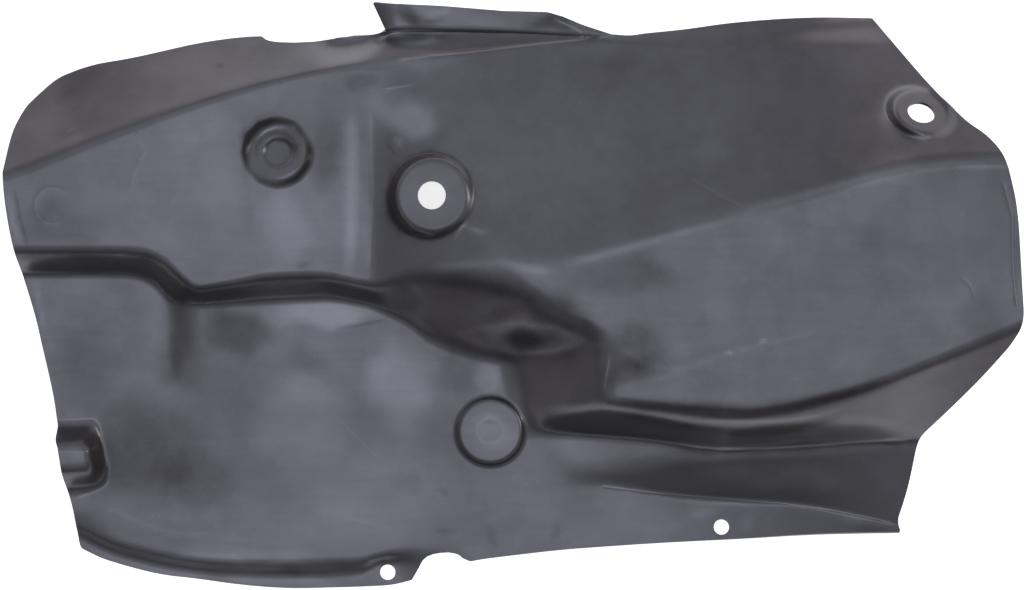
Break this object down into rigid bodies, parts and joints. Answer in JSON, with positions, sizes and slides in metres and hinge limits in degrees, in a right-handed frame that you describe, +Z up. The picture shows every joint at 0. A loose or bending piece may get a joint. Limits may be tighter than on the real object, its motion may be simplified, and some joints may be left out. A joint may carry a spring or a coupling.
{
  "type": "wheel arch liner",
  "caption": "Thin vacuum-formed plastic liner for a wheel arch, with stepped panels, raised fixing seats, pressed cups and a trimmed edge.",
  "frame": {"origin": "middle of the liner's length and width, on the ground that its edges rest on", "axes": "+X along the liner towards its high rear end, +Y across it towards the sloping upper panel, +Z up, out of the domed side"},
  "size_m": [0.6044, 0.3498, 0.0852],
  "materials": {
    "sheet": "black vacuum-formed sheet with a soft semi-gloss sheen, faint draw marks and light scuffs"
  },
  "bodies": {
    "root": {"arch_liner": "sheet"}
  },
  "joints": []
}
